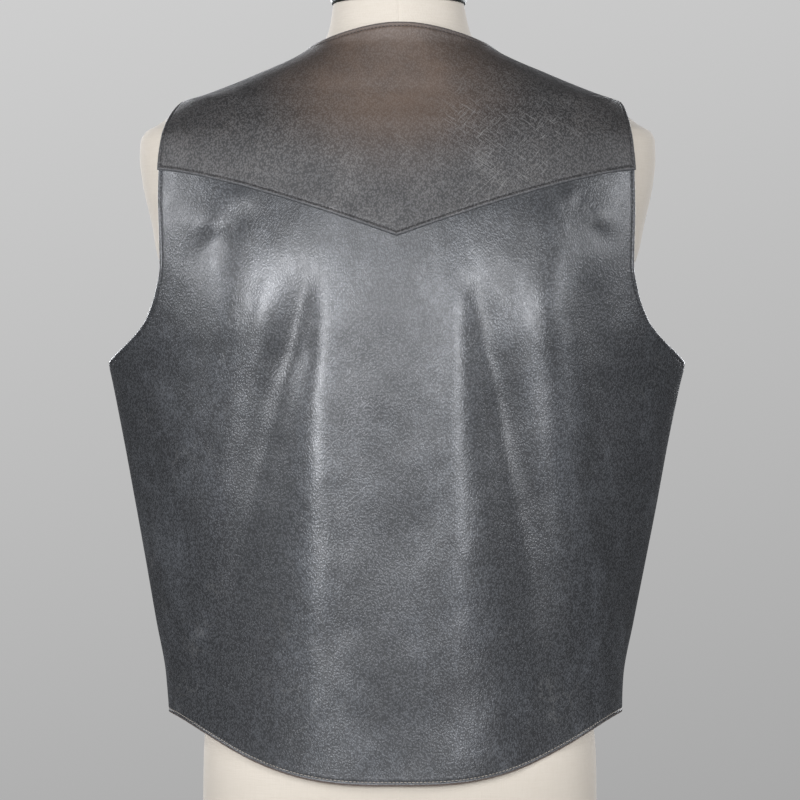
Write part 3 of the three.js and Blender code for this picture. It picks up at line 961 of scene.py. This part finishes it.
def leather_finish(colours, sizes):
    """Pebbled hide: dye rubbed thin in random patches, with painted highlights on fold crests and pebble
    tops and painted shade in troughs and the grain's hollows; scratches on the yoke; brown at the hem; a
    painted warm reflection at the neck; edges lighter from wear and a painted highlight.
    """
    material, tree, place = new_finish("pebbled_leather")
    edge, fold, yoke = (read_field(tree, name) for name in ("edge_mm", "fold_mm", "yoke"))
    height = add_node(tree, "ShaderNodeSeparateXYZ", {}, {0: place}, "Z")
    pebble, lines, fine, wander = leather_grain(tree, place, sizes.grain)

    cloud = noise(tree, place, 9.0, 5.0, 0.62)
    patch = noise(tree, stretch(tree, place, (1.0, 1.0, 0.6)), 34.0, 4.0, 0.65)
    speckle = noise(tree, place, 150.0, 3.0, 0.7)
    # Dye rubbed thin in random patches; the fold term also lightens fold crests and darkens troughs, a
    # painted highlight and painted shade.
    rub_and_crest_light = (patch * 0.5 + cloud * 0.30 + speckle * 0.20 + fold * 0.012).step(0.45, 0.66)
    scratches = crossed_scratches(tree, place, yoke, patch)
    veins = crackle(tree, place, wander, 58.0) * noise(tree, place, 21.0, 3.0).step(0.55, 0.70) * (1 - yoke)
    # Pebble tops painted lighter, partly the grain's own tone and partly a painted highlight; the hollows
    # painted darker as painted shade.
    grain = (pebble * 0.45 + lines * 0.55).step(0.30, 0.70)
    pit_shade = 1 - (pebble * 0.5 + lines * 0.5).step(0.26, 0.50)
    # Painted reflection: a warm brown round the neck stands in for the warm room reflected in the tilted-up
    # leather.
    neck_reflection = blob(tree, place, *NECK_REFLECTION_PATCH) * (0.55 + 0.45 * cloud.step(0.35, 0.6))
    # Finished edges: lighter from wear and from a painted highlight where light catches the rolled edge, and
    # brown along the hem.
    rim = 1 - edge.step(0.4, 2.2)
    low_rim = rim * (1 - height.step(0.15, 0.24))

    tone = mix(tree, rub_and_crest_light * 0.85, colours.leather, colours.worn)
    layers = (
        (yoke * 0.62, mix(tree, rub_and_crest_light * 0.7, colours.yoke, colours.yoke_worn)),
        (grain * (0.32 + yoke * 0.2), colours.worn),
        (pit_shade * (0.62 + yoke * 0.2), PIT_SHADE_COLOUR),
        (neck_reflection * 0.62, colours.tan),
        (low_rim * 0.6, colours.tan),
        (rim * (1 - low_rim) * 0.45, colours.worn),
        (scratches * 0.36, colours.scuff),
        (veins * 0.11, colours.scuff),
    )
    for share, layer in layers:
        tone = mix(tree, share, tone, layer)

    relief_height = pebble * 0.50 + lines * 0.42 + fine * 0.08 + scratches * 0.10 + veins * 0.08
    gloss = 0.375 - patch * 0.20 + (1 - pebble) * 0.06 + cloud * 0.04 + yoke * 0.23 + scratches * 0.1
    shade(
        tree,
        relief_height,
        0.175,
        {
            "Base Color": tone,
            "Roughness": gloss,
            "Specular IOR Level": 0.66,
            "Coat Weight": rub_and_crest_light * 0.24 * (1 - yoke * 0.6) + 0.02,
            "Coat Roughness": 0.30,
        },
    )
    return material


def flesh_finish(colours):
    """The hide's inner side, brushed and dull."""
    material, tree, place = new_finish("flesh_side")
    nap = noise(tree, place, 620.0, 4.0, 0.7)
    cloud = noise(tree, place, 22.0, 4.0, 0.6)
    tone = mix(tree, cloud.step(0.35, 0.65) * 0.5, colours.flesh, [c * 0.6 for c in colours.flesh])
    tone = mix(tree, nap.step(0.4, 0.7) * 0.3, tone, [c * 1.7 for c in colours.flesh])
    shade(tree, nap, 0.2, {"Base Color": tone, "Roughness": 0.92, "Specular IOR Level": 0.25})
    return material


def thread_finish(name, colour):
    """Waxed thread."""
    material, tree, place = new_finish(name)
    twist = noise(tree, place, 1800.0, 2.0, 0.5)
    tone = mix(tree, twist.step(0.35, 0.65) * 0.5, colour, [c * 0.55 for c in colour])
    shade(tree, twist, 0.08, {"Base Color": tone, "Roughness": 0.62})
    return material


def linen_finish(colours):
    """Cream linen: uneven threads both ways, with painted shade that darkens it towards the bottom."""
    material, tree, place = new_finish("linen_cover")
    weft = noise(tree, stretch(tree, place, (55.0, 55.0, 1500.0)), 1.0, 2.0, 0.5)
    warp = noise(tree, stretch(tree, place, (1300.0, 1300.0, 60.0)), 1.0, 2.0, 0.5)
    weave = weft * 0.5 + warp * 0.5
    cloud = noise(tree, place, 7.0, 4.0, 0.6)
    darker = [colours.linen[0] * 0.86, colours.linen[1] * 0.84, colours.linen[2] * 0.80]
    tone = mix(tree, weave.step(0.36, 0.64) * 0.35, darker, colours.linen)
    tone = mix(tree, cloud.step(0.45, 0.75) * 0.25, tone, darker)
    # Painted shade: darker towards the bottom, standing in for the hem's shadow and the dimmer light on the
    # hips.
    height = add_node(tree, "ShaderNodeSeparateXYZ", {}, {0: place}, "Z")
    painted_low_shade = (1 - height.step(0.05, 0.15)) * (0.6 + cloud * 0.4)
    tone = mix(tree, painted_low_shade * 0.8, tone, [c * 0.72 for c in darker])
    shade(
        tree,
        weave,
        0.25,
        {"Base Color": tone, "Roughness": 0.88, "Specular IOR Level": 0.3, "Sheen Weight": 0.15},
    )
    return material


def metal_finish(name, colour, roughness, tarnish):
    """Worn metal, darker where it is tarnished."""
    material, tree, place = new_finish(name)
    cloud = noise(tree, place, 260.0, 5.0, 0.65)
    brushed = noise(tree, place, 1400.0, 2.0, 0.5)
    dull = cloud.step(0.38, 0.66)
    tone = mix(tree, dull * tarnish, colour, [c * 0.3 for c in colour])
    shade(
        tree,
        brushed,
        0.02,
        {"Base Color": tone, "Metallic": 1 - dull * 0.35, "Roughness": dull * 0.22 + roughness},
    )
    return material


def finish(name):
    """One of the vest's materials, made when it is first asked for."""
    made = bpy.data.materials.get(name)
    if made:
        return made
    scene = bpy.context.scene
    colours = scene.vest_colours
    if name == "pebbled_leather":
        return leather_finish(colours, scene.vest_sizes)
    if name == "flesh_side":
        return flesh_finish(colours)
    if name == "dark_thread":
        return thread_finish(name, colours.dark_thread)
    if name == "pale_thread":
        return thread_finish(name, colours.pale_thread)
    if name == "linen_cover":
        return linen_finish(colours)
    if name == "cap_bronze":
        return metal_finish(name, colours.cap, 0.38, 0.5)
    if name == "snap_brass":
        return metal_finish(name, colours.snap, 0.28, 0.7)
    raise ValueError(f"no finish is called {name}")


def seam_picks(rows, low, high):
    """The rows whose side ends lie between two heights, as pickers for the right and left ends."""
    mask = (rows[:, 1] >= low - 1e-6) & (rows[:, 1] <= high + 1e-6)
    return lambda m: m[mask, 0], lambda m: m[mask, -1]


def back_panel(stages, lift, first, last):
    spacing = bpy.context.scene.vest_sizes.spacing / MM
    rows = rows_of(stages, spacing, first, last)
    half = divide(BACK_REACH, spacing, False, True)
    across = np.concatenate([-half[:0:-1], half])
    turn, z, raised = back_place(rows, across, lift)
    return rows, turn, z, raised


def body_panel():
    rows, turn, z, lift = back_panel(BACK_ROWS, 0, True, False)
    right_hole, left_hole = seam_picks(rows, UNDERARM, SHOULDER_TIP)
    right_seam, left_seam = seam_picks(rows, 0, UNDERARM)
    edges = {"hem": lambda m: m[0], "right": right_hole, "left": left_hole}
    return Panel(1, turn, z, lift, edges, [right_seam, left_seam])


def yoke_panel():
    rows, turn, z, lift = back_panel(YOKE_ROWS, LAP_LIFT, True, True)
    right_hole, left_hole = seam_picks(rows, 0, SHOULDER_TIP)
    right_seam, left_seam = seam_picks(rows, SHOULDER_TIP, 999)
    edges = {"fold": lambda m: m[0], "neck": lambda m: m[-1], "right": right_hole, "left": left_hole}
    return Panel(1, turn, z, lift, edges, [right_seam, left_seam], yoke=1.0)


def front_panel(side):
    spacing = bpy.context.scene.vest_sizes.spacing / MM
    rows = rows_of(FRONT_ROWS, spacing, True, True)
    across = divide(FRONT_REACH, spacing, True, True)
    turn, z, lift = front_place(rows, across, side)
    _, hole = seam_picks(rows, UNDERARM, SHOULDER_TIP)
    _, seam = seam_picks(rows, 0, UNDERARM)
    edges = {"hem": lambda m: m[0], "front": lambda m: m[:, 0], "hole": hole}
    return Panel(-1, turn, z, lift, edges, [seam, lambda m: m[-1]])


def dress(piece, node):
    """Ties a leather panel to the root and hides the part's piece that it stands for."""
    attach(piece, "root")
    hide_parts(node)


def form_ring(height, level, grow, angle):
    power = form_power(level)
    depth = np.where(np.sin(angle) > 0, form_back(level), form_front(level))
    x = form_lean(level) + (form_side(level) + grow) * signed_power(np.cos(angle), 2 / power)
    y = (depth + grow) * signed_power(np.sin(angle), 2 / power)
    return np.stack([x, y, height + 0 * angle], 1)


def lathe_faces(rings, round_count):
    """Faces of stacked rings, closed at both ends."""
    index = np.arange(rings * round_count).reshape(rings, round_count)
    turned = np.roll(index, -1, axis=1)
    faces = quads(index[:-1], turned[:-1], turned[1:], index[1:]).tolist()
    faces.append(index[0][::-1].tolist())
    faces.append(index[-1].tolist())
    return faces


def lathe_rings(profile, round_count):
    """Rings of points round the Z axis, one for each radius and height of a profile."""
    angle = np.linspace(0, 2 * math.pi, round_count, endpoint=False)
    return np.stack([np.stack([r * np.cos(angle), r * np.sin(angle), h + 0 * angle], 1) for r, h in profile])


def lathe_piece(name, rings, material):
    """A closed piece from stacked rings of points."""
    return make_mesh(name, rings.reshape(-1, 3), lathe_faces(*rings.shape[:2]), [material])


class VEST_OT_dress_form(bpy.types.Operator):
    """Build the linen dress form and the cap on its neck"""

    bl_idname = "vest.dress_form"
    bl_label = "Dress form"
    bl_options = {"REGISTER", "UNDO"}

    def execute(self, context):
        seams = (math.pi / 2, 3 * math.pi / 2)
        angle = np.linspace(0, 2 * math.pi, FORM_ROUND, endpoint=False) + math.pi / FORM_ROUND
        for seam in seams:
            angle = angle[np.abs(angle - seam) > FORM_SEAM_ROOM]
            angle = np.concatenate([angle, seam + np.radians(FORM_SEAM_COLUMNS)])
        angle = np.sort(angle)
        foot = [0, 0.5, 1.5, 3]
        heights = np.concatenate([foot, np.arange(6, 600, 4.0), np.arange(600, NECK_TOP, 1.6), [NECK_TOP]])
        grow = -rolled(heights, FOOT_ROLL)
        rings = np.stack([form_ring(h, h, g, angle) for h, g in zip(heights, grow)])
        for seam, sign in zip(seams, (1, -1)):
            apart = (angle - seam)[None, :] * form_back(heights)[:, None]
            rings[..., 1] -= sign * FORM_SEAM_DEPTH * np.exp(-((apart / FORM_SEAM_WIDTH) ** 2))
        cover = lathe_piece("form_cover", rings, finish("linen_cover"))
        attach(cover, "root")
        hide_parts("form_torso")

        angle = np.linspace(0, 2 * math.pi, CAP_ROUND, endpoint=False)
        heights = np.concatenate([np.linspace(736.3, 747, 12), np.linspace(747.4, 753, 16)])
        rings = np.stack([form_ring(h, NECK_TOP, cap_grow(h), angle) for h in heights])
        cap = lathe_piece("form_cap", rings, finish("cap_bronze"))
        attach(cap, "root")
        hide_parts("form_neck_cap")
        return {"FINISHED"}


class VEST_OT_back_body(bpy.types.Operator):
    """Build the back below the yoke, with its hem and armholes topstitched"""

    bl_idname = "vest.back_body"
    bl_label = "Back"
    bl_options = {"REGISTER", "UNDO"}

    def execute(self, context):
        panel = body_panel()
        piece = panel.build("back_body_leather", finish("pebbled_leather"), finish("flesh_side"))
        dress(piece, "back_body")
        hem = panel.inset_line("hem", False, False)
        right = panel.inset_line("right", True, False, lambda p: p[2] < YOKE_END)
        left = panel.inset_line("left", True, True, lambda p: p[2] < YOKE_END)
        make_stitches("back_hem_stitches", [hem], finish("pale_thread"))
        make_stitches("back_armhole_stitches", [right, left], finish("dark_thread"))
        return {"FINISHED"}


class VEST_OT_back_yoke(bpy.types.Operator):
    """Build the pointed yoke that laps over the back"""

    bl_idname = "vest.back_yoke"
    bl_label = "Back yoke"
    bl_options = {"REGISTER", "UNDO"}

    def execute(self, context):
        panel = yoke_panel()
        piece = panel.build("back_yoke_leather", finish("pebbled_leather"), finish("flesh_side"))
        dress(piece, "back_yoke")
        lines = [
            panel.inset_line("fold", False, False),
            panel.inset_line("neck", False, True),
            panel.inset_line("right", True, False),
            panel.inset_line("left", True, True),
        ]
        make_stitches("yoke_stitches", lines, finish("dark_thread"))
        return {"FINISHED"}


class VEST_OT_fronts(bpy.types.Operator):
    """Build the two fronts, the left one lapped over the right"""

    bl_idname = "vest.fronts"
    bl_label = "Fronts"
    bl_options = {"REGISTER", "UNDO"}

    def execute(self, context):
        hems = []
        lines = []
        for side, node in ((1, "front_left"), (-1, "front_right")):
            panel = front_panel(side)
            piece = panel.build(f"{node}_leather", finish("pebbled_leather"), finish("flesh_side"))
            dress(piece, node)
            hems.append(panel.inset_line("hem", False, False))
            lines.append(panel.inset_line("front", True, False))
            lines.append(panel.inset_line("hole", True, True))
        make_stitches("front_hem_stitches", hems, finish("pale_thread"))
        make_stitches("front_edge_stitches", lines, finish("dark_thread"))
        return {"FINISHED"}


class VEST_OT_snaps(bpy.types.Operator):
    """Build the five snaps that hold the fronts closed"""

    bl_idname = "vest.snaps"
    bl_label = "Snaps"
    bl_options = {"REGISTER", "UNDO"}

    def execute(self, context):
        inset, foot, rise = SNAP_DOME
        profile = [(SNAP_POLE, 0)]
        profile += [(SNAP_RADIUS - inside, height) for inside, height in SNAP_RIM]
        for i in range(1, SNAP_DOME_STEPS):
            turn = i / SNAP_DOME_STEPS * math.pi / 2
            profile.append(((SNAP_RADIUS - inset) * math.cos(turn), foot + rise * math.sin(turn)))
        profile.append((SNAP_POLE, foot + rise))
        rings = lathe_rings(profile, SNAP_ROUND)
        faces = lathe_faces(*rings.shape[:2])
        for i, height in enumerate(SNAP_HEIGHTS):
            z = np.array([float(height)])
            turn = np.zeros(1)
            direction = outward(-1, turn, z)[0]
            seat = skin(-1, turn, z)[0] + direction * (LAP_LIFT + LEATHER + SEAM_GAP)
            turned = Vector(direction).to_track_quat("Z", "Y").to_matrix()
            points = rings.reshape(-1, 3) @ np.array(turned).T + seat
            piece = make_mesh(f"snap_{i + 1}_dome", points, faces, [finish("snap_brass")])
            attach(piece, "root")
            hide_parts(f"snap_{i + 1}")
        return {"FINISHED"}


def softbox(name, place, target, size, power):
    """A rectangular area light aimed at a point."""
    light = bpy.data.lights.new(name, "AREA")
    light.shape = "RECTANGLE"
    light.size, light.size_y = size
    light.energy = power
    light.color = DAYLIGHT
    lamp = bpy.data.objects.new(name, light)
    lamp.location = place
    lamp.rotation_mode = "QUATERNION"
    lamp.rotation_quaternion = (Vector(target) - Vector(place)).to_track_quat("-Z", "Y")
    bpy.context.scene.collection.objects.link(lamp)


class VEST_OT_studio(bpy.types.Operator):
    """Set up the floor, the backdrop, the soft lights and the camera"""

    bl_idname = "vest.studio"
    bl_label = "Studio"
    bl_options = {"REGISTER", "UNDO"}

    def execute(self, context):
        scene = context.scene
        studio = scene.vest_studio
        material, tree, place = new_finish("pale_floor")
        grit = noise(tree, place, 300.0, 3.0, 0.6)
        tone = mix(tree, grit * 0.1, studio.floor, [c * 0.85 for c in studio.floor])
        shade(tree, grit, 0.02, {"Base Color": tone, "Roughness": 0.8})
        floor = lathe_piece("studio_floor", lathe_rings(FLOOR_PROFILE, FLOOR_ROUND), material)

        world = bpy.data.worlds.new("studio_backdrop")
        world.use_nodes = True
        tree = world.node_tree
        tree.nodes.clear()
        look = add_node(tree, "ShaderNodeTexCoord", {}, {}, "Generated")
        slopes = []
        for axis, change in BACKDROP_SLOPES:
            along = add_node(tree, "ShaderNodeSeparateXYZ", {}, {0: look}, axis)
            sockets = {0: along, 1: -VIEW_REACH, 2: VIEW_REACH, 3: -change, 4: change}
            slopes.append(add_node(tree, "ShaderNodeMapRange", {"clamp": True}, sockets))
        strength = slopes[0] + slopes[1] + studio.backdrop
        shown = add_node(tree, "ShaderNodeBackground", {}, {"Color": (1, 1, 1, 1), "Strength": strength})
        room = add_node(tree, "ShaderNodeBackground", {}, {"Color": ROOM_TINT, "Strength": studio.ambient})
        seen = add_node(tree, "ShaderNodeLightPath", {}, {}, "Is Camera Ray")
        both = add_node(tree, "ShaderNodeMixShader", {}, {0: seen, 1: room, 2: shown})
        add_node(tree, "ShaderNodeOutputWorld", {}, {"Surface": both})
        scene.world = world

        for name, azimuth, distance, low, high, width, brightness in SOFTBOXES:
            turn = math.radians(azimuth)
            middle = (low + high) / 2
            place = (distance * math.sin(turn), distance * math.cos(turn), middle)
            power = studio.key * brightness * width * (high - low)
            softbox(name, place, (0, 0, middle * AIM_SHARE + AIM_LIFT), (width, high - low), power)

        camera = bpy.data.cameras.new("studio_camera")
        camera.lens = LENS
        camera.sensor_width = FILM_WIDTH
        camera.clip_end = 50.0
        eye = bpy.data.objects.new("studio_camera", camera)
        eye.location = EYE
        eye.rotation_euler = (math.pi / 2, 0.0, math.pi)
        scene.collection.objects.link(eye)
        scene.camera = eye
        scene.view_settings.view_transform = "Standard"
        return {"FINISHED"}


class VEST_PT_panel(bpy.types.Panel):
    """Sizes, colours and steps of the vest"""

    bl_idname = "VEST_PT_panel"
    bl_label = "Leather Vest"
    bl_space_type = "VIEW_3D"
    bl_region_type = "UI"
    bl_category = "Vest"

    def draw(self, context):
        layout = self.layout
        for group in (context.scene.vest_sizes, context.scene.vest_colours, context.scene.vest_studio):
            box = layout.box()
            for name in group.__annotations__:
                box.prop(group, name)
        for step in STEPS:
            layout.operator(step.bl_idname)


STEPS = (
    VEST_OT_dress_form,
    VEST_OT_back_body,
    VEST_OT_back_yoke,
    VEST_OT_fronts,
    VEST_OT_snaps,
    VEST_OT_studio,
)
CLASSES = (VestSizes, VestColours, StudioSettings, *STEPS, VEST_PT_panel)


def register():
    for cls in CLASSES:
        bpy.utils.register_class(cls)
    bpy.types.Scene.vest_sizes = PointerProperty(type=VestSizes)
    bpy.types.Scene.vest_colours = PointerProperty(type=VestColours)
    bpy.types.Scene.vest_studio = PointerProperty(type=StudioSettings)


def unregister():
    del bpy.types.Scene.vest_studio
    del bpy.types.Scene.vest_colours
    del bpy.types.Scene.vest_sizes
    for cls in reversed(CLASSES):
        bpy.utils.unregister_class(cls)


def main():
    register()
    bpy.ops.vest.dress_form()
    bpy.ops.vest.back_body()
    bpy.ops.vest.back_yoke()
    bpy.ops.vest.fronts()
    bpy.ops.vest.snaps()
    bpy.ops.vest.studio()


if __name__ == "__main__":
    main()
